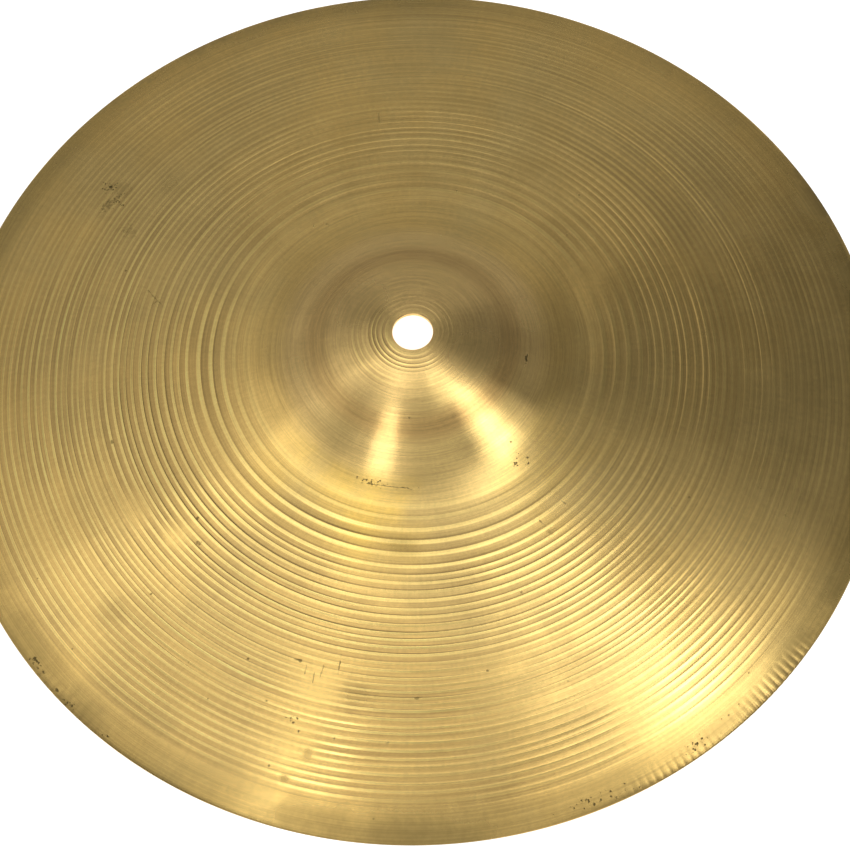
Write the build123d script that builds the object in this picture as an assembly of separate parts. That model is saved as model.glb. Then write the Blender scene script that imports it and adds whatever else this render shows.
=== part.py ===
"""Crash cymbal: one spun and lathed disc of bronze, 12 inches across, with a low bell and a standard centre hole.

Millimetres. +Z is up, out of the bell. The origin is on the centre line, in the plane that the rim rests on.
The upper surface is a chain of tangent arcs from the hole to the rim. The lower surface follows it at the
thickness of the sheet, which is hammered and turned thinner from the bell out to the full-round rim.
"""

from build123d import *
import os
from math import cos, radians, sin, tan

DIAMETER = 304.8
HOLE_DIAMETER = 12.7
HOLE_EDGE_BREAK = 0.15

# Thickness of the sheet at the bell, the bow and the rim
BELL_THICKNESS = 1.4
BOW_THICKNESS = 1.1
RIM_THICKNESS = 0.9

# Radii at which one stretch of the upper surface turns into the next
CROWN_RADIUS = 30.0
FLANK_RADIUS = 41.0
COVE_RADIUS = 57.5
MID_BOW_RADIUS = 99.0

# Downward slope of the upper surface at the end of each stretch, in degrees: it is level at the hole
CROWN_SLOPE = 21.0
FLANK_SLOPE = 22.5
COVE_SLOPE = 2.0
MID_BOW_SLOPE = 4.7
RIM_SLOPE = 10.6

# The rim is a half circle, so the upper surface ends a little inside the full diameter
RIM_ROUND = RIM_THICKNESS / 2
RIM_START_RADIUS = DIAMETER / 2 - RIM_ROUND * (1 - sin(radians(RIM_SLOPE)))

# Each stretch from the hole outwards: its outer radius, and the slope and thickness that it ends with
STRETCHES = [
    (CROWN_RADIUS, CROWN_SLOPE, BELL_THICKNESS),
    (FLANK_RADIUS, FLANK_SLOPE, BELL_THICKNESS),
    (COVE_RADIUS, COVE_SLOPE, BOW_THICKNESS),
    (MID_BOW_RADIUS, MID_BOW_SLOPE, BOW_THICKNESS),
    (RIM_START_RADIUS, RIM_SLOPE, RIM_THICKNESS),
]


def arc_run(run, start_slope, end_slope):
    """Horizontal run from the start of a tangent arc to its middle, where its slope is halfway."""
    start, end = radians(start_slope), radians(end_slope)
    mid = (start + end) / 2
    return run * (sin(mid) - sin(start)) / (sin(end) - sin(start))


def arc_fall(run, start_slope, end_slope):
    """How far a tangent arc falls over a horizontal run: its chord lies at the mean slope."""
    return run * tan(radians(start_slope + end_slope) / 2)


def upper_stations():
    """Start, middle and end of each stretch, as (radius, depth below the crown, slope, thickness)."""
    radius, depth, slope, thickness = HOLE_DIAMETER / 2, 0.0, 0.0, BELL_THICKNESS
    stations = [(radius, depth, slope, thickness)]
    for end_radius, end_slope, end_thickness in STRETCHES:
        run = end_radius - radius
        mid_run = arc_run(run, slope, end_slope)
        mid_slope = (slope + end_slope) / 2
        mid_depth = depth + arc_fall(mid_run, slope, mid_slope)
        stations.append((radius + mid_run, mid_depth, mid_slope, (thickness + end_thickness) / 2))
        depth += arc_fall(run, slope, end_slope)
        radius, slope, thickness = end_radius, end_slope, end_thickness
        stations.append((radius, depth, slope, thickness))
    return stations


def offset_points(stations, height, share):
    """The stations as (x, z), moved into the sheet along its normal by a share of the thickness."""
    return [
        (r - share * t * sin(radians(slope)), height - depth - share * t * cos(radians(slope)))
        for r, depth, slope, t in stations
    ]


def chain(points):
    """One arc through each stretch's start, middle and end."""
    return [ThreePointArc(*points[i : i + 3]) for i in range(0, len(points) - 1, 2)]


def make_cymbal():
    """The whole cymbal, revolved about its centre line."""
    stations = upper_stations()
    rim_slope = radians(RIM_SLOPE)
    height = stations[-1][1] + RIM_ROUND * (1 + cos(rim_slope))
    top = offset_points(stations, height, 0)
    low = offset_points(stations, height, 1)
    rim_x, rim_z = offset_points(stations[-1:], height, 0.5)[0]
    rim_nose = (rim_x + RIM_ROUND * cos(rim_slope), rim_z - RIM_ROUND * sin(rim_slope))
    edges = chain(top) + chain(low)
    edges += [ThreePointArc(top[-1], rim_nose, low[-1]), Line(low[0], top[0])]
    disc = revolve(Plane.XZ * make_face(Wire(edges)), Axis.Z, 360)
    circles = disc.edges().filter_by(GeomType.CIRCLE)
    hole_edges = [edge for edge in circles if abs(edge.radius - HOLE_DIAMETER / 2) < 0.01]
    return chamfer(hole_edges, HOLE_EDGE_BREAK)


os.makedirs("parts", exist_ok=True)
cymbal = make_cymbal()
export_step(cymbal, "parts/cymbal.step")
box = cymbal.bounding_box()
print(f"cymbal: {box.size.X:.2f} x {box.size.Y:.2f} x {box.size.Z:.2f} mm, {cymbal.volume / 1000:.2f} cm3")
print(f"lowest point {box.min.Z:.3f}, highest point {box.max.Z:.3f}, solids {len(cymbal.solids())}")
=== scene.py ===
"""Looks for the crash cymbal: one lathed and hammered bronze disc, lying on a pale studio floor.

The piece is one closed mesh, built ring by ring round the centre line. Its mean surface is the CAD part's.
The lathe's grooves, the unevenness of the hammered sheet and the knocks in the rim are cut into it as
geometry, and only the finest turning lines are left to the material. Lengths are in millimetres until a mesh
is made.
"""

import math

import bpy
import numpy as np
from mathutils import Matrix, Vector, noise


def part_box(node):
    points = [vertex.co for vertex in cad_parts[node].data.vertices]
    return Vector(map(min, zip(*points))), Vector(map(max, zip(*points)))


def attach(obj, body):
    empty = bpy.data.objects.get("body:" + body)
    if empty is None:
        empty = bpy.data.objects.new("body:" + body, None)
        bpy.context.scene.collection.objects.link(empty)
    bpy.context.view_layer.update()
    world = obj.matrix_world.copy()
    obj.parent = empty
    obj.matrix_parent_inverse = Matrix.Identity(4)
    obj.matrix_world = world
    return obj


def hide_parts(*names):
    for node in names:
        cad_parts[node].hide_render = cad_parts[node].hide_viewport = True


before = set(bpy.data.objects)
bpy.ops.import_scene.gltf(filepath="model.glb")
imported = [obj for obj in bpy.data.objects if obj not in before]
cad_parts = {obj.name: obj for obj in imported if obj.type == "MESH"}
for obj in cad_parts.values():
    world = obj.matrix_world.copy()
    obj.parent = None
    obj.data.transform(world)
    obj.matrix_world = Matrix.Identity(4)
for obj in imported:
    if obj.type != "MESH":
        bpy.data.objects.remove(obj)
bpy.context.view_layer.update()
MM = 0.001

# ---------------------------------------------------------- the cymbal's section, as in the CAD part

RIM_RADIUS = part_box("cymbal")[1].x / MM
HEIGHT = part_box("cymbal")[1].z / MM
HOLE_RADIUS = 6.35
HOLE_EDGE_BREAK = 0.15
BELL_THICKNESS, BOW_THICKNESS, RIM_THICKNESS = 1.4, 1.1, 0.9
RIM_SLOPE = math.radians(10.6)
RIM_ROUND = RIM_THICKNESS / 2
RIM_START = RIM_RADIUS - RIM_ROUND * (1 - math.sin(RIM_SLOPE))
CROWN_END, FLANK_END, COVE_END, MID_BOW = 30.0, 41.0, 57.5, 99.0

# Each stretch from the hole outwards: its outer radius, and the slope in degrees and thickness at its end
STRETCHES = [
    (CROWN_END, 21.0, BELL_THICKNESS),
    (FLANK_END, 22.5, BELL_THICKNESS),
    (COVE_END, 2.0, BOW_THICKNESS),
    (MID_BOW, 4.7, BOW_THICKNESS),
    (RIM_START, math.degrees(RIM_SLOPE), RIM_THICKNESS),
]


def upper_surface(r):
    """Height, downward slope in radians and sheet thickness of the smooth upper surface at radius r."""
    r = np.asarray(r, float)
    z, slope, thickness = np.zeros_like(r), np.zeros_like(r), np.zeros_like(r)
    r0, z0, a0, t0 = HOLE_RADIUS, HEIGHT, 0.0, BELL_THICKNESS
    for r1, degrees, t1 in STRETCHES:
        a1 = math.radians(degrees)
        here = r >= r0 - 1e-9
        x = r[here] - r0
        share = x / (r1 - r0)
        a = np.arcsin(np.clip(math.sin(a0) + share * (math.sin(a1) - math.sin(a0)), -1, 1))
        z[here] = z0 - x * np.tan((a0 + a) / 2)
        slope[here] = a
        thickness[here] = t0 + np.clip(share, 0, 1) * (t1 - t0)
        z0 -= (r1 - r0) * math.tan((a0 + a1) / 2)
        r0, a0, t0 = r1, a1, t1
    return z, slope, thickness


# ---------------------------------------------------------- what the lathe, the hammer and wear did

# Turned bands of the upper side: first and last ridge, the pitch between ridges, the depth of the grooves,
# and how strongly the tone of the metal, rubbed and with painted glints and shade, follows them
TOP_BANDS = [
    (8.3, 14.0, 1.35, 0.040, 0.8),
    (14.0, 20.4, 1.60, 0.014, 0.3),
    (20.4, 30.8, 1.75, 0.008, 0.1),
    (53.6, 60.8, 3.60, 0.030, 0.3),
    (60.8, 75.4, 3.60, 0.075, 0.9),
    (75.4, 96.9, 2.45, 0.085, 1.0),
    (96.9, 131.0, 2.10, 0.070, 0.95),
    (131.0, 135.6, 2.30, 0.055, 0.8),
    (135.6, 142.8, 2.40, 0.050, 0.7),
]
LOW_BANDS = [(14.0, 30.0, 2.6, 0.030, 0.0), (50.0, 148.0, 3.1, 0.070, 0.0)]
# Across a groove, from one ridge to the next: how far across, how deep as a share of the groove's depth, and
# the tone of the metal, from 0 for tarnished and in painted shade to 1 for rubbed bright with a painted
# glint.
# Each ridge is steep on its inner side.
GROOVE = [
    (0.00, 0.00, 1.00),
    (0.05, 0.06, 1.00),
    (0.28, 0.78, 1.00),
    (0.37, 0.96, 0.22),
    (0.50, 1.00, 0.18),
    (0.78, 1.00, 0.15),
    (0.87, 0.80, 0.05),
    (0.95, 0.30, 0.00),
]
LOW_GROOVE = [(0.0, 0.0, 0.5), (0.3, 0.85, 0.5), (0.7, 0.85, 0.5)]
PLAIN_TONE = 0.5
# How strongly the ridges stand out at angles round the disc, in degrees, in depth and in their painted glints
# and shade: most at the left and in front, where the light falls
CONTRAST_ROUND = [
    (0, 0.5),
    (35, 0.6),
    (90, 0.28),
    (130, 0.6),
    (170, 0.95),
    (225, 1.3),
    (268, 1.0),
    (312, 0.4),
]
# Patches where the ridges are rubbed out: angle in degrees, radius and half width
RUBBED_OUT = [
    (209.0, 101.0, 6.0),
    (218.0, 95.0, 5.0),
    (253.0, 112.0, 8.0),
    (252.0, 130.0, 8.0),
    (82.0, 118.0, 12.0),
    (20.0, 66.0, 9.0),
]
# Stretches of the rim with knocks: middle and half width in degrees, spacing, depth
NOTCHES = [(304.0, 17.0, 2.4, 0.04), (311.5, 8.0, 2.4, 0.11), (225.0, 9.0, 3.1, 0.05)]
# How far a knock runs in from the rim, and how much painted shade darkens it for each millimetre of its depth
KNOCK_LENGTH, KNOCK_SHADE = 5.5, 4.0
# How far the width, the depth and the tone of one groove stray from their band's, as shares
PITCH_SPREAD = (-0.2, 0.2)
DEPTH_SPREAD = (0.7, 1.25)
CONTRAST_SPREAD = (0.7, 1.2)
# How far rings wander in and out: each ridge by itself, and all of them together
RIDGE_DRIFT, COMMON_DRIFT = 0.10, 0.18
# How much a groove's depth and a ridge's tone change on their way round, as shares
DEPTH_WAVES, TONE_WAVES = 0.25, 0.3
# The height of the hammer's dents, and how much stronger the broad swells are
HAMMER_DEPTH, SWELL_SHARE = 0.035, 1.6
# How wide the dents, the swells and the worn patches are, and at what height each is cut from the noise
DENT_SIZE, SWELL_SIZE, WEAR_SIZE = 16.0, 41.0, 26.0
DENT_CUT, SWELL_CUT, WEAR_CUT = 3.7, 9.2, 21.3
# The share of a groove's depth that is gone in the middle of a rubbed patch
RUBBED_SHARE = 0.8
# The lengths over which the dents and the wandering die out towards the hole and the rim
HOLE_HOLD, RIM_HOLD = 6.0, 18.0

# The step between rings where the sheet is plain, and the width below which no such ring is added
SMOOTH_STEP, LEAST_GAP = 1.6, 0.3
# How many points a ring has on the bell and on the bow, and how finely the rim splits the bow's steps
BELL_SEGMENTS, BOW_SEGMENTS = 90, 180
RIM_SPLIT, NOTCH_SPLIT = 3, 14
# The radii where rings go over from the bell's points to the bow's, and from the bow's to the rim's
BELL_END, RIM_ZONE = 60.0, 146.5

# Seeds of the random curves, far enough apart for each ring to have its own
RIDGE_SEED, COMMON_SEED, DEPTH_SEED, TONE_SEED, KNOCK_SEED = 40, 7, 300, 600, 5
rng = np.random.default_rng(12)


def ridge_radii(bands, first, last):
    """Ring radii from first to last, with the groove depth and tone contrast after each, 0 where plain."""
    radii, depths, contrasts = [first], [0.0], [0.0]

    def plain_rings(end):
        gaps = max(1, round((end - radii[-1]) / SMOOTH_STEP))
        radii.extend(np.linspace(radii[-1], end, gaps + 1)[1:])
        depths.extend([0.0] * gaps)
        contrasts.extend([0.0] * gaps)

    for start, end, pitch, depth, contrast in bands:
        count = max(1, round((end - start) / pitch))
        steps = 1 + rng.uniform(*PITCH_SPREAD, count)
        turned = start + np.cumsum(np.concatenate([[0], steps])) * (end - start) / steps.sum()
        if turned[0] - radii[-1] > LEAST_GAP:
            plain_rings(turned[0])
        depths[-1] = depth * rng.uniform(*DEPTH_SPREAD)
        contrasts[-1] = contrast * rng.uniform(*CONTRAST_SPREAD)
        for r in turned[1:]:
            radii.append(r)
            depths.append(depth * rng.uniform(*DEPTH_SPREAD))
            contrasts.append(contrast * rng.uniform(*CONTRAST_SPREAD))
    depths[-1] = contrasts[-1] = 0.0
    plain_rings(last)
    return np.array(radii), depths, contrasts


def waves(theta, count, seed):
    """A smooth random curve round the circle, between about -1 and 1, from its lowest few harmonics."""
    local = np.random.default_rng(seed)
    total = np.zeros_like(theta)
    for k in range(1, count + 1):
        total += np.cos(k * theta + local.uniform(0, 2 * math.pi)) * local.normal() / math.sqrt(k)
    return total / math.sqrt(count)


def hammered(x, y):
    """Height of the hammered sheet's unevenness at each point, the same on both sides of the sheet."""
    out = np.empty(len(x))
    for i, (px, py) in enumerate(zip(x, y)):
        dents = noise.noise(Vector((px / DENT_SIZE, py / DENT_SIZE, DENT_CUT)))
        swells = noise.noise(Vector((px / SWELL_SIZE, py / SWELL_SIZE, SWELL_CUT)))
        out[i] = dents + SWELL_SHARE * swells
    return out * HAMMER_DEPTH


def worn(x, y):
    """How much of the grooves is left at each point, from 1 down to about 0.1 where they are rubbed out."""
    left = [noise.noise(Vector((px / WEAR_SIZE, py / WEAR_SIZE, WEAR_CUT))) for px, py in zip(x, y)]
    left = np.clip(0.92 + 0.8 * np.array(left), 0.6, 1.0)
    for degrees, radius, half in RUBBED_OUT:
        px, py = radius * math.cos(math.radians(degrees)), radius * math.sin(math.radians(degrees))
        left -= RUBBED_SHARE * left * np.exp(-(((x - px) ** 2 + (y - py) ** 2) / half**2) ** 1.5)
    return left


def contrast_round(theta):
    """How strongly the ridges stand out at each angle, in depth and in painted glints and shade."""
    degrees, shares = zip(*CONTRAST_ROUND)
    return np.interp(np.degrees(theta), degrees, shares, period=360)


def rows_between(radii, depths, groove):
    """Splits each groove into rows: ridge index, how far across, share of the depth, and tone."""
    rows = []
    for k in range(len(radii) - 1):
        rows += [(k, *row) for row in (groove if depths[k] > 0 else groove[:1])]
    rows.append((len(radii) - 1, *groove[0]))
    return rows


def bell_angles():
    """The angles of a ring on the bell."""
    return np.arange(BELL_SEGMENTS) * 2 * math.pi / BELL_SEGMENTS


def angles(split=None):
    """The angles of a ring: BOW_SEGMENTS equal steps, each split as the list says."""
    step = 2 * math.pi / BOW_SEGMENTS
    if split is None:
        return np.arange(BOW_SEGMENTS) * step
    return np.concatenate([(j + np.arange(m) / m) * step for j, m in enumerate(split)])


def rim_split():
    """How many times each step of the outer rings is split: finer where the rim is knocked."""
    out = []
    for j in range(BOW_SEGMENTS):
        degrees = (j + 0.5) * 360 / BOW_SEGMENTS
        near = any(abs((degrees - mid + 180) % 360 - 180) < half + 2 for mid, half, *_ in NOTCHES)
        out.append(NOTCH_SPLIT if near else RIM_SPLIT)
    return out


def notch_depth(r, theta):
    """Depth of the stick and handling knocks pressed into the upper side of the rim."""
    depth = np.zeros_like(theta)
    inwards = np.clip((r - (RIM_RADIUS - KNOCK_LENGTH)) / KNOCK_LENGTH, 0, 1) ** 1.3
    for mid, half, spacing, deepest in NOTCHES:
        off = (np.degrees(theta) - mid + 180) % 360 - 180
        fade = np.clip(1 - (off / half) ** 2, 0, 1)
        along = np.radians(off) * RIM_RADIUS / spacing
        knocks = (0.5 + 0.5 * np.cos(2 * math.pi * along + waves(theta, 9, KNOCK_SEED))) ** 3
        depth += deepest * fade * inwards * knocks
    return depth


class Sheet:
    """Collects the rings of the closed mesh, and the tone of each point: rubbed ridges with painted glints,
    and painted shade in the grooves and knocks.
    """

    def __init__(self):
        self.points, self.tone, self.faces, self.rings = [], [], [], []
        self.count = 0

    def ring(self, points, tone):
        start = self.count
        self.points.append(points)
        self.tone.append(tone)
        self.count += len(points)
        self.rings.append((start, len(points)))

    def stitch(self, a, b, split=None):
        """Joins ring a to ring b. Split says how often each step of the coarser is cut, if not evenly."""
        (sa, na), (sb, nb) = self.rings[a], self.rings[b]
        if na == nb:
            for j in range(na):
                k = (j + 1) % na
                self.faces.append((sa + j, sb + j, sb + k, sa + k))
            return
        fine_is_b = nb > na
        (sc, nc), (sf, nf) = ((sa, na), (sb, nb)) if fine_is_b else ((sb, nb), (sa, na))
        cuts = split or [nf // nc] * nc
        at = 0
        for j, m in enumerate(cuts):
            c0, c1 = sc + j, sc + (j + 1) % nc
            fine = [sf + (at + i) % nf for i in range(m + 1)]
            half = m // 2
            tris = [(c0, fine[i], fine[i + 1]) for i in range(half)]
            tris.append((c0, fine[half], c1))
            tris += [(c1, fine[i], fine[i + 1]) for i in range(half, m)]
            self.faces += tris if fine_is_b else [t[::-1] for t in tris]
            at += m


def shell_point(r, theta, lift, low):
    """Points on the upper or lower side at top radius r, raised along the surface's normal by lift."""
    z, slope, thickness = upper_surface(r)
    down = thickness if low else 0.0
    out = r - (down - lift) * np.sin(slope)
    up = z - (down - lift) * np.cos(slope)
    return np.stack([out * np.cos(theta), out * np.sin(theta), up], 1)


def lathe_side(bands, groove, low):
    """The rings of one side from the hole's edge to the rim: their points, their tone and their zone."""
    first = HOLE_RADIUS + HOLE_EDGE_BREAK
    radii, depths, contrasts = ridge_radii(bands, first, RIM_START)
    fine = rim_split()
    built = []
    for k, s, share, shade in rows_between(radii, depths, groove):
        r_here = radii[k] + s * (radii[min(k + 1, len(radii) - 1)] - radii[k])
        if r_here < BELL_END:
            theta, zone = bell_angles(), "bell"
        elif r_here < RIM_ZONE:
            theta, zone = angles(), "bow"
        else:
            theta, zone = angles(fine), "rim"
        hold = np.clip(min((r_here - first) / HOLE_HOLD, (RIM_START - r_here) / RIM_HOLD), 0, 1)
        inner, outer = [waves(theta, 3, RIDGE_SEED + ridge) * RIDGE_DRIFT for ridge in (k, k + 1)]
        drift = (1 - s) * inner + s * outer + waves(theta, 2, COMMON_SEED) * COMMON_DRIFT
        r = np.full(len(theta), r_here) + drift * hold
        left = worn(r * np.cos(theta), r * np.sin(theta))
        stands = contrast_round(theta)
        uneven = 1 + DEPTH_WAVES * waves(theta, 5, DEPTH_SEED + k)
        cut = depths[k] * share * left * (0.6 + 0.4 * stands) * uneven
        wobble = hammered(r * np.cos(theta), r * np.sin(theta)) * hold
        lift = wobble + cut if low else wobble - cut
        tone = np.full(len(theta), PLAIN_TONE)
        if not low:
            knock = notch_depth(r, theta)
            lift = lift - knock
            # Painted shade in each knock, darker the deeper it is
            tone = tone - knock * KNOCK_SHADE
            # On the ridges painted glints, in the groove floors and inner corners painted shade, along with
            # rubbing and tarnish; strongest where the light falls
            contrast = contrasts[k] * left * stands * (1 + TONE_WAVES * waves(theta, 8, TONE_SEED + k))
            tone = tone + (shade - PLAIN_TONE) * np.clip(contrast, 0, 1)
        built.append((shell_point(r, theta, lift, low), tone, zone))
    return built


def round_rim(start, end, theta):
    """The rings of the half-round rim, from the last upper ring to the first lower one."""
    outward = np.stack([np.cos(theta), np.sin(theta), np.zeros_like(theta)], 1) * math.cos(RIM_SLOPE)
    outward[:, 2] = -math.sin(RIM_SLOPE)
    middle, arm = (start + end) / 2, (start - end) / 2
    length = np.linalg.norm(arm, axis=1)[:, None]
    built = []
    for turn in range(36, 180, 36):
        a = math.radians(turn)
        points = middle + arm * math.cos(a) + outward * length * math.sin(a)
        built.append((points, np.full(len(theta), PLAIN_TONE), "rim"))
    return built


def hole_wall():
    """The two rings of the hole's wall, between its broken edges."""
    theta = bell_angles()
    x, y = HOLE_RADIUS * np.cos(theta), HOLE_RADIUS * np.sin(theta)
    built = []
    for z in (HEIGHT - BELL_THICKNESS + HOLE_EDGE_BREAK, HEIGHT - HOLE_EDGE_BREAK):
        points = np.stack([x, y, np.full(BELL_SEGMENTS, z)], 1)
        built.append((points, np.full(BELL_SEGMENTS, PLAIN_TONE), "bell"))
    return built


def make_cymbal():
    """The closed mesh: upper side, round rim, lower side and the wall of the hole."""
    sheet = Sheet()
    top = lathe_side(TOP_BANDS, GROOVE, low=False)
    low = lathe_side(LOW_BANDS, LOW_GROOVE, low=True)[::-1]
    fine = rim_split()
    rows = top + round_rim(top[-1][0], low[0][0], angles(fine)) + low + hole_wall()
    for points, tone, _ in rows:
        sheet.ring(points, tone)
    for i in range(len(rows)):
        j = (i + 1) % len(rows)
        zones = {rows[i][2], rows[j][2]}
        sheet.stitch(i, j, fine if zones == {"bow", "rim"} else None)
    mesh = bpy.data.meshes.new("cymbal_bronze")
    mesh.from_pydata(np.concatenate(sheet.points) * MM, [], sheet.faces)
    mesh.shade_smooth()
    mesh.set_sharp_from_angle(angle=math.radians(38))
    # The tone of each point: rubbed ridges with painted glints, and painted shade in the grooves and knocks
    turned = mesh.attributes.new("rubbed_glint_and_shade", "FLOAT", "POINT")
    turned.data.foreach_set("value", np.concatenate(sheet.tone).astype(np.float32))
    obj = bpy.data.objects.new("cymbal_bronze", mesh)
    bpy.context.scene.collection.objects.link(obj)
    return obj


cymbal = make_cymbal()
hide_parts("cymbal")
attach(cymbal, "root")


# ---------------------------------------------------------- bronze


class Graph:
    """Short names for making and linking shader nodes."""

    def __init__(self, tree):
        self.tree = tree

    def add(self, kind, inputs=(), **settings):
        node = self.tree.nodes.new(kind)
        for name, value in settings.items():
            setattr(node, name, value)
        for key, value in dict(inputs).items():
            if isinstance(value, bpy.types.NodeSocket):
                self.tree.links.new(value, node.inputs[key])
            else:
                node.inputs[key].default_value = value
        return node

    def math(self, operation, a, b=0.0, c=0.0, clamp=False):
        node = self.add("ShaderNodeMath", {0: a, 1: b, 2: c}, operation=operation, use_clamp=clamp)
        return node.outputs[0]

    def mix(self, share, a, b, blend="MIX"):
        node = self.add("ShaderNodeMix", {0: share, 6: a, 7: b}, data_type="RGBA", blend_type=blend)
        return node.outputs[2]

    def vector(self, operation, a, b=None):
        inputs = {0: a} if b is None else {0: a, 1: b}
        node = self.add("ShaderNodeVectorMath", inputs, operation=operation)
        return node.outputs["Value" if operation in ("LENGTH", "DOT_PRODUCT") else "Vector"]

    def noise(self, vector, scale, detail=2.0, roughness=0.5):
        inputs = {"Vector": vector, "Scale": scale, "Detail": detail, "Roughness": roughness}
        return self.add("ShaderNodeTexNoise", inputs).outputs[0]

    def between(self, value, low, high, to_low=0.0, to_high=1.0):
        inputs = {"Value": value, "From Min": low, "From Max": high, "To Min": to_low, "To Max": to_high}
        return self.add("ShaderNodeMapRange", inputs, interpolation_type="SMOOTHSTEP").outputs[0]


# Small marks of use: angle in degrees and radius, half the length outwards and around, turn, and how dark
MARKS = [
    (95.0, 93.0, 2.2, 0.5, 0, 0.5),
    (119.0, 56.0, 0.9, 0.7, 20, 0.6),
    (123.0, 57.5, 0.6, 0.5, 0, 0.5),
    (347.5, 36.2, 0.6, 2.2, 0, 0.9),
    (301.5, 74.5, 1.3, 2.0, 20, 0.3),
    (308.5, 69.2, 1.6, 0.25, 10, 0.5),
    (300.8, 70.5, 1.4, 0.25, 10, 0.5),
    (163.5, 88.0, 4.5, 0.3, -35, 0.35),
    (164.5, 86.5, 0.3, 2.0, -35, 0.3),
    (251.0, 123.5, 0.5, 0.5, 0, 0.8),
    (251.5, 122.0, 0.4, 0.4, 0, 0.8),
    (257.0, 125.0, 0.5, 0.5, 0, 0.85),
    (264.0, 124.5, 0.5, 0.7, 0, 0.5),
    (268.0, 112.0, 0.5, 0.7, 0, 0.5),
    (249.0, 106.0, 0.5, 1.3, 0, 0.6),
    (250.5, 108.5, 2.2, 0.22, 4, 0.35),
    (252.0, 109.5, 2.0, 0.22, 8, 0.35),
    (253.0, 107.5, 2.4, 0.22, -4, 0.3),
    (255.5, 104.5, 2.8, 0.28, 3, 0.5),
    (257.5, 48.2, 0.25, 7.5, 1, 0.5),
    (264.0, 48.2, 0.4, 2.0, 1, 0.7),
    (218.0, 86.9, 0.6, 0.9, 0, 0.55),
    (222.1, 91.6, 0.9, 0.8, 0, 0.4),
    (222.8, 112.2, 0.45, 0.4, 0, 0.5),
    (195.2, 99.6, 0.4, 0.8, 0, 0.5),
    (218.6, 149.8, 0.6, 1.5, 0, 0.8),
    (223.0, 150.8, 0.5, 1.0, 0, 0.7),
    (265.0, 28.0, 0.6, 0.5, 0, 0.6),
    (145.0, 124.0, 0.9, 0.9, 0, 0.9),
    (148.0, 120.5, 1.5, 3.4, 0, 0.45),
    (151.0, 107.5, 3.0, 2.5, 0, 0.2),
]
# Soft smudges: angle in degrees and radius, half the length outwards and around, and how dark
SMUDGES = [
    (142.0, 20.0, 12.0, 17.0, 0.30),
    (228.0, 24.0, 8.0, 8.0, 0.22),
    (339.0, 21.0, 12.0, 12.0, 0.36),
    (12.0, 38.0, 8.0, 15.0, 0.24),
    (190.0, 38.0, 8.0, 12.0, 0.20),
    (264.0, 66.0, 5.0, 8.0, 0.20),
    (221.0, 123.0, 6.0, 7.0, 0.16),
    (144.0, 121.0, 6.0, 5.0, 0.35),
    (139.0, 107.0, 8.0, 9.0, 0.20),
    (254.0, 131.0, 2.0, 1.6, 0.30),
    (252.0, 139.0, 1.6, 1.8, 0.32),
    (259.0, 112.0, 6.0, 8.0, 0.22),
    (264.0, 150.0, 11.0, 46.0, 0.42),
    (303.0, 149.0, 7.0, 30.0, 0.20),
    (216.0, 149.0, 8.0, 24.0, 0.26),
]
# Clusters of dirt spots: angle in degrees and radius, half the length outwards and around, and their share
CLUSTERS = [
    (254.0, 48.0, 1.2, 6.0, 0.3),
    (307.5, 50.5, 2.8, 2.6, 0.4),
    (145.0, 124.0, 2.6, 2.4, 0.95),
    (146.5, 118.5, 2.6, 3.4, 0.7),
    (219.0, 150.5, 1.0, 3.4, 0.9),
    (225.0, 151.0, 0.8, 3.6, 0.75),
    (231.0, 151.0, 0.6, 2.5, 0.6),
    (251.5, 123.5, 2.5, 4.0, 0.12),
    (303.0, 148.5, 2.0, 12.0, 0.14),
    (287.0, 149.5, 1.6, 14.0, 0.28),
]
# How closely the dirt spots of the clusters and the scattered specks can lie, per metre
SPOTS_PER_METRE, SPECKS_PER_METRE = 1400.0, 170.0
# Where grime has gathered along the rim: middle and half width in degrees, and how dark
GRIME = [
    (20.0, 40.0, 0.60),
    (120.0, 46.0, 0.45),
    (214.0, 22.0, 0.40),
    (322.0, 12.0, 0.30),
]

CLEAN_BRONZE = (0.93, 0.625, 0.20, 1)
OLIVE_PATINA = (0.76, 0.54, 0.195, 1)
BROWN_TARNISH_AND_SHADE = (0.56, 0.345, 0.12, 1)
GROOVE_SHADE_AND_TARNISH = (0.44, 0.285, 0.10, 1)
RUBBED_BRONZE_AND_GLINT = (1.0, 0.735, 0.25, 1)
PALE_BELL = (0.93, 0.64, 0.245, 1)
FRONT_FOOT_SHEEN = (0.90, 0.585, 0.115, 1)
RIM_PATINA = (0.44, 0.305, 0.095, 1)
GRIME_COLOUR = (0.10, 0.075, 0.03, 1)
# Height of the fine turning lines, in metres
LINE_HEIGHT = 0.000004
# Roughness of the metal, from its smoothest clouds to its roughest, and what dirt adds and rubbing takes away
LEAST_ROUGH, MOST_ROUGH = 0.18, 0.25
DIRT_ROUGH, RUBBED_SMOOTH = 0.35, 0.04


def polar(degrees, length=1.0):
    """The point at this angle and distance from the centre line, level with the origin."""
    a = math.radians(degrees)
    return (length * math.cos(a), length * math.sin(a), 0)


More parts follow.
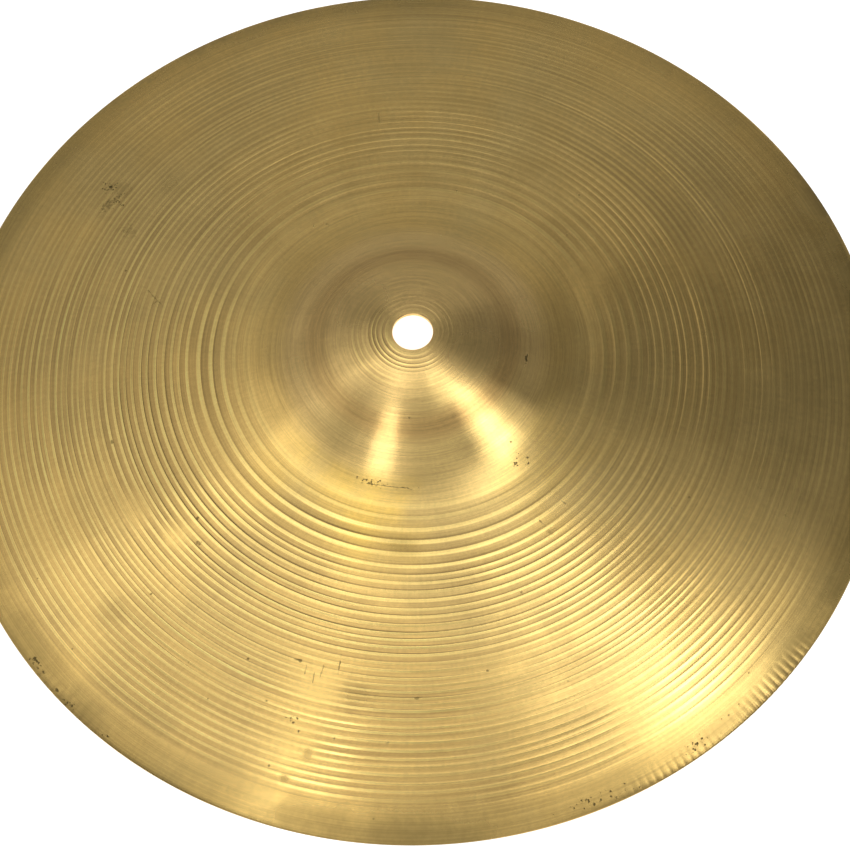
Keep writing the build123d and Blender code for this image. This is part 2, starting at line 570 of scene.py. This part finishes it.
def bronze():
    """Turned bronze: satin along the rings' tangent, with lathe lines, patina, grime, small marks and painted
    light: glints on the ridges, shade in the grooves, knocks and at the bell's shoulder, and a golden sheen
    at the bell's foot in front.
    """
    material = bpy.data.materials.new("lathed_bronze")
    material.use_nodes = True
    tree = material.node_tree
    tree.nodes.clear()
    g = Graph(tree)
    place = g.add("ShaderNodeTexCoord").outputs["Object"]
    flat = g.vector("MULTIPLY", place, (1, 1, 0))
    radius = g.math("MULTIPLY", g.vector("LENGTH", flat), 1 / MM)
    outwards = g.vector("NORMALIZE", flat)

    def turned(around, per_mm):
        """Texture space wrapped round the centre line, set apart around the rings and from ring to ring."""
        rise = g.add("ShaderNodeCombineXYZ", {"Z": g.math("MULTIPLY", radius, per_mm)}).outputs[0]
        stretched = g.vector("SCALE", outwards)
        stretched.node.inputs["Scale"].default_value = around
        return g.vector("ADD", stretched, rise)

    def band(start, full, end_full, end):
        """1 between the radii full and end_full, falling to 0 at start and end."""
        return g.math("MULTIPLY", g.between(radius, start, full), g.between(radius, end_full, end, 1, 0))

    ring_tone = g.noise(turned(0.8, 0.9), 1.0, 3.0, 0.7)
    lines = g.noise(turned(1.6, 2.3), 1.0, 2.0, 0.7)
    chatter = g.noise(turned(95.0, 0.16), 1.0, 1.0, 0.5)
    cloud = g.noise(place, 11.0, 3.0, 0.55)
    blotch = g.noise(place, 60.0, 4.0, 0.6)
    grain = g.noise(place, 900.0, 2.0, 0.6)

    # Patina: paler on the bell, olive in soft clouds and towards the rim, and browner in some rings. A
    # painted sheen makes the bell's foot golden in front, where the light falls, and painted shade darkens
    # the bell's shoulder
    # Painted sheen: the foot of the bell is golden on the front side only
    front_sheen_side = g.between(g.vector("DOT_PRODUCT", outwards, polar(278.0)), 0.3, 0.9)
    colour = g.mix(g.math("MULTIPLY", band(43.0, 49.0, 62.0, 82.0), front_sheen_side), CLEAN_BRONZE, FRONT_FOOT_SHEEN)
    colour = g.mix(g.between(radius, 38.0, 47.0, 1, 0), colour, PALE_BELL)
    olive = g.between(g.math("ADD", cloud, g.math("MULTIPLY", blotch, 0.35)), 0.52, 0.86)
    colour = g.mix(olive, colour, OLIVE_PATINA)
    outer = g.math("MULTIPLY", g.between(radius, 136.0, 151.0), g.between(cloud, 0.3, 0.7, 0.35, 0.65))
    colour = g.mix(outer, colour, RIM_PATINA)
    brown = g.between(ring_tone, 0.5, 0.8, 0, 0.3)
    colour = g.mix(brown, colour, BROWN_TARNISH_AND_SHADE)
    # Painted shade: a soft brown ring round the bell's shoulder stands in for its dark reflection
    shoulder = g.math("MULTIPLY", band(24.0, 30.5, 31.5, 37.0), g.between(cloud, 0.3, 0.7, 0.4, 0.75))
    colour = g.mix(shoulder, colour, BROWN_TARNISH_AND_SHADE)

    # Ridges are rubbed bright and carry a painted glint; tarnish and painted shade darken the groove floors,
    # most in the corner on the inner side of each ridge, and the knocks
    rubbed_glint_and_shade = g.add("ShaderNodeAttribute", attribute_name="rubbed_glint_and_shade").outputs["Fac"]
    colour = g.mix(g.math("MULTIPLY_ADD", rubbed_glint_and_shade, -1.7, 0.85, clamp=True), colour, GROOVE_SHADE_AND_TARNISH)
    bright = g.math("MULTIPLY_ADD", rubbed_glint_and_shade, 2.0, -1.0, clamp=True)
    colour = g.mix(bright, colour, RUBBED_BRONZE_AND_GLINT)

    # Fine tone: turning lines, chatter across them and grain
    tone = g.between(lines, 0.25, 0.75, 0.88, 1.10)
    tone = g.math("MULTIPLY", tone, g.between(chatter, 0.2, 0.8, 0.97, 1.03))
    tone = g.math("MULTIPLY", tone, g.between(grain, 0.2, 0.8, 0.95, 1.05))
    grey = g.add("ShaderNodeCombineXYZ", {0: tone, 1: tone, 2: tone}).outputs[0]
    colour = g.mix(1.0, colour, grey, "MULTIPLY")

    # Dirt: grime along the rim, smudges, marks and specks
    dirt = None
    edge = g.math("MULTIPLY", g.between(radius, 141.0, 152.0), g.between(blotch, 0.35, 0.62))
    for middle, half, dark in GRIME:
        towards = g.vector("DOT_PRODUCT", outwards, polar(middle))
        side = g.between(towards, math.cos(math.radians(half)), 1.0)
        stain = g.math("MULTIPLY", g.math("MULTIPLY", edge, side), dark)
        dirt = stain if dirt is None else g.math("MAXIMUM", dirt, stain)
    ragged = g.between(grain, 0.3, 0.7, -0.45, 0.45)
    cloudy = g.between(blotch, 0.3, 0.7, -0.35, 0.35)

    def patch(angle, r, out, around, turn, start, end, edge=ragged):
        """1 inside an oval patch, falling to 0 from start to end in units of its half lengths."""
        settings = {
            "Vector": place,
            "Location": polar(angle, r * MM),
            "Rotation": (0, 0, math.radians(angle + turn)),
            "Scale": (out * MM, around * MM, 1),
        }
        local = g.add("ShaderNodeMapping", settings, vector_type="TEXTURE").outputs[0]
        return g.between(g.math("ADD", g.vector("LENGTH", local), edge), start, end, 1, 0)

    for angle, r, out, around, dark in SMUDGES:
        smudge = g.math("MULTIPLY", patch(angle, r, out, around, 0, 0.0, 1.2, cloudy), dark)
        dirt = g.math("MAXIMUM", dirt, smudge)
    for angle, r, out, around, turn, dark in MARKS:
        mark = g.math("MULTIPLY", patch(angle, r, out, around, turn, 0.4, 1.1), dark)
        dirt = g.math("MAXIMUM", dirt, mark)
    cells = g.add("ShaderNodeTexVoronoi", {"Vector": place, "Scale": SPOTS_PER_METRE})
    chance = g.add("ShaderNodeSeparateXYZ", {0: cells.outputs["Color"]}).outputs[0]
    spots = None
    for angle, r, out, around, share in CLUSTERS:
        dense = g.math("MULTIPLY", patch(angle, r, out, around, 0, 0.3, 1.2), share)
        spots = dense if spots is None else g.math("MAXIMUM", spots, dense)
    spots = g.math("LESS_THAN", chance, spots)
    reach = g.math("ADD", cells.outputs["Distance"], g.between(grain, 0.3, 0.7, -0.25, 0.25))
    spots = g.math("MULTIPLY", spots, g.between(reach, 0.2, 0.55, 0.8, 0))
    dirt = g.math("MAXIMUM", dirt, spots)
    sparse = g.add("ShaderNodeTexVoronoi", {"Vector": place, "Scale": SPECKS_PER_METRE})
    chance = g.add("ShaderNodeSeparateXYZ", {0: sparse.outputs["Color"]}).outputs[0]
    picked = g.between(chance, 0.80, 0.9)
    speck = g.math("MULTIPLY", g.between(sparse.outputs["Distance"], 0.03, 0.09, 0.55, 0), picked)
    dirt = g.math("MAXIMUM", dirt, speck)
    colour = g.mix(dirt, colour, GRIME_COLOUR)

    rough = g.between(blotch, 0.25, 0.75, LEAST_ROUGH, MOST_ROUGH)
    rough = g.math("ADD", rough, g.math("MULTIPLY", dirt, DIRT_ROUGH))
    rough = g.math("SUBTRACT", rough, g.math("MULTIPLY", bright, RUBBED_SMOOTH))

    bump = g.add("ShaderNodeBump", {"Strength": 1.0, "Distance": LINE_HEIGHT, "Height": lines}).outputs[0]
    shader = g.add(
        "ShaderNodeBsdfPrincipled",
        {
            "Base Color": colour,
            "Metallic": 1.0,
            "Roughness": rough,
            "Anisotropic": 0.89,
            "Tangent": outwards,
            "Normal": bump,
        },
    )
    g.add("ShaderNodeOutputMaterial", {"Surface": shader.outputs[0]})
    return material


cymbal.data.materials.append(bronze())


# ---------------------------------------------------------- floor, light and camera


def make_floor():
    """A wide pale floor, nearly white by its own light."""
    material = bpy.data.materials.new("pale_floor")
    material.use_nodes = True
    shader = material.node_tree.nodes["Principled BSDF"]
    shader.inputs["Base Color"].default_value = (0.5, 0.5, 0.5, 1)
    shader.inputs["Roughness"].default_value = 0.8
    shader.inputs["Emission Color"].default_value = (1, 1, 1, 1)
    shader.inputs["Emission Strength"].default_value = 0.97
    mesh = bpy.data.meshes.new("floor")
    half = 3.0
    corners = [(-half, -half, 0), (half, -half, 0), (half, half, 0), (-half, half, 0)]
    mesh.from_pydata(corners, [], [(0, 1, 2, 3)])
    mesh.materials.append(material)
    obj = bpy.data.objects.new("floor", mesh)
    bpy.context.scene.collection.objects.link(obj)


def make_camera():
    """Looks down at the cymbal from in front, a little turned on its own axis."""
    data = bpy.data.cameras.new("camera")
    data.lens = 59.3
    data.sensor_width = 36.0
    data.clip_start = 0.01
    obj = bpy.data.objects.new("camera", data)
    bpy.context.scene.collection.objects.link(obj)
    place = Vector((0, -206.9, 409.8)) * MM
    target = Vector((2.5, -22.2, 0.45)) * MM
    aim = (target - place).to_track_quat("-Z", "Y").to_matrix()
    roll = Matrix.Rotation(math.radians(-2.09), 3, "Z")
    obj.matrix_world = Matrix.Translation(place) @ (aim @ roll).to_4x4()
    bpy.context.scene.camera = obj


# Soft lights far away: azimuth, elevation and half width in degrees, brightness, and whether the doors cut it
LIGHTS = {
    "bank": (250, 80, 45, 0.13, True),
    "overhead": (90, 82, 12, 0.60, True),
    "apex": (100, 75, 16, 0.44, False),
    "left": (138, 69, 16, 0.375, True),
    "left_low": (163, 59, 9, 0.26, True),
    "left_glow": (170, 62, 22, 0.27, False),
    "left_spot": (231, 69, 6, 3.3, False),
    "left_strip": (222, 75, 6, 0.07, False),
    "right": (12, 75, 11, 1.58, True),
    "right_spot": (343, 62, 10, 2.2, False),
    "right_core": (345, 63, 5, 2.6, False),
    "right_glow": (350, 58, 13, 0.70, False),
    "front": (275, 62, 20, 0.29, False),
    "front_left": (225, 70, 14, 0.38, True),
    "back": (90, 25, 38, 0.16, False),
    "back_left": (150, 50, 28, 0.20, False),
    "far_right": (20, 70, 14, 0.27, False),
    "far_left": (120, 62, 14, 0.20, False),
    "low_front": (270, 18, 42, 0.5, False),
    "low_left": (180, 12, 32, 0.4, False),
    "low_right": (0, 12, 32, 0.4, False),
    "low_back_left": (140, 6, 22, 0.4, False),
    "low_back_right": (40, 6, 22, 0.4, False),
}
AMBIENT = 0.156
# The share of a soft light's half width that is fully bright
LIGHT_CORE = 0.6
# Two doors darken all beyond them: the ring angle at which the rings mirror a door's edge to a camera 66
# degrees up in front, the side that stays lit, and the softness of the edge
DOORS = [(204, 1, 0.012), (311, -1, 0.012)]
CAMERA_RISE = math.radians(66)


def soft_light(g, direction, azimuth, elevation, size):
    """1 in the middle of a round soft light, falling to 0 at its edge."""
    across = math.cos(math.radians(elevation))
    x, y, _ = polar(azimuth, across)
    middle = (x, y, math.sin(math.radians(elevation)))
    near = g.vector("DOT_PRODUCT", direction, middle)
    return g.between(near, math.cos(math.radians(size)), math.cos(math.radians(size * LIGHT_CORE)))


def door(g, direction, ring_angle, side, softness):
    """1 on one side of the directions that the rings mirror at ring_angle, and 0 on the other."""
    x, y, _ = polar(ring_angle + 90)
    limit = math.cos(CAMERA_RISE) * math.cos(math.radians(ring_angle))
    past = g.math("MULTIPLY", g.math("SUBTRACT", g.vector("DOT_PRODUCT", direction, (x, y, 0)), limit), side)
    return g.between(past, -softness, softness)


def make_light():
    """A studio of soft lights in the world, white where the camera looks straight at it."""
    world = bpy.data.worlds.new("studio")
    world.use_nodes = True
    tree = world.node_tree
    tree.nodes.clear()
    g = Graph(tree)
    direction = g.add("ShaderNodeTexCoord").outputs["Generated"]
    doors = 1.0
    for ring_angle, side, softness in DOORS:
        doors = g.math("MULTIPLY", doors, door(g, direction, ring_angle, side, softness))
    total = AMBIENT
    for azimuth, elevation, size, brightness, is_cut in LIGHTS.values():
        light = g.math("MULTIPLY", soft_light(g, direction, azimuth, elevation, size), brightness)
        if is_cut:
            light = g.math("MULTIPLY", light, doors)
        total = g.math("ADD", total, light)
    seen = g.add("ShaderNodeLightPath").outputs["Is Camera Ray"]
    strength = g.math("ADD", g.math("MULTIPLY", total, g.math("SUBTRACT", 1.0, seen)), seen)
    background = g.add("ShaderNodeBackground", {"Color": (1, 1, 1, 1), "Strength": strength})
    g.add("ShaderNodeOutputWorld", {"Surface": background.outputs[0]})
    bpy.context.scene.world = world


make_floor()
make_camera()
make_light()
bpy.context.scene.view_settings.view_transform = "Standard"
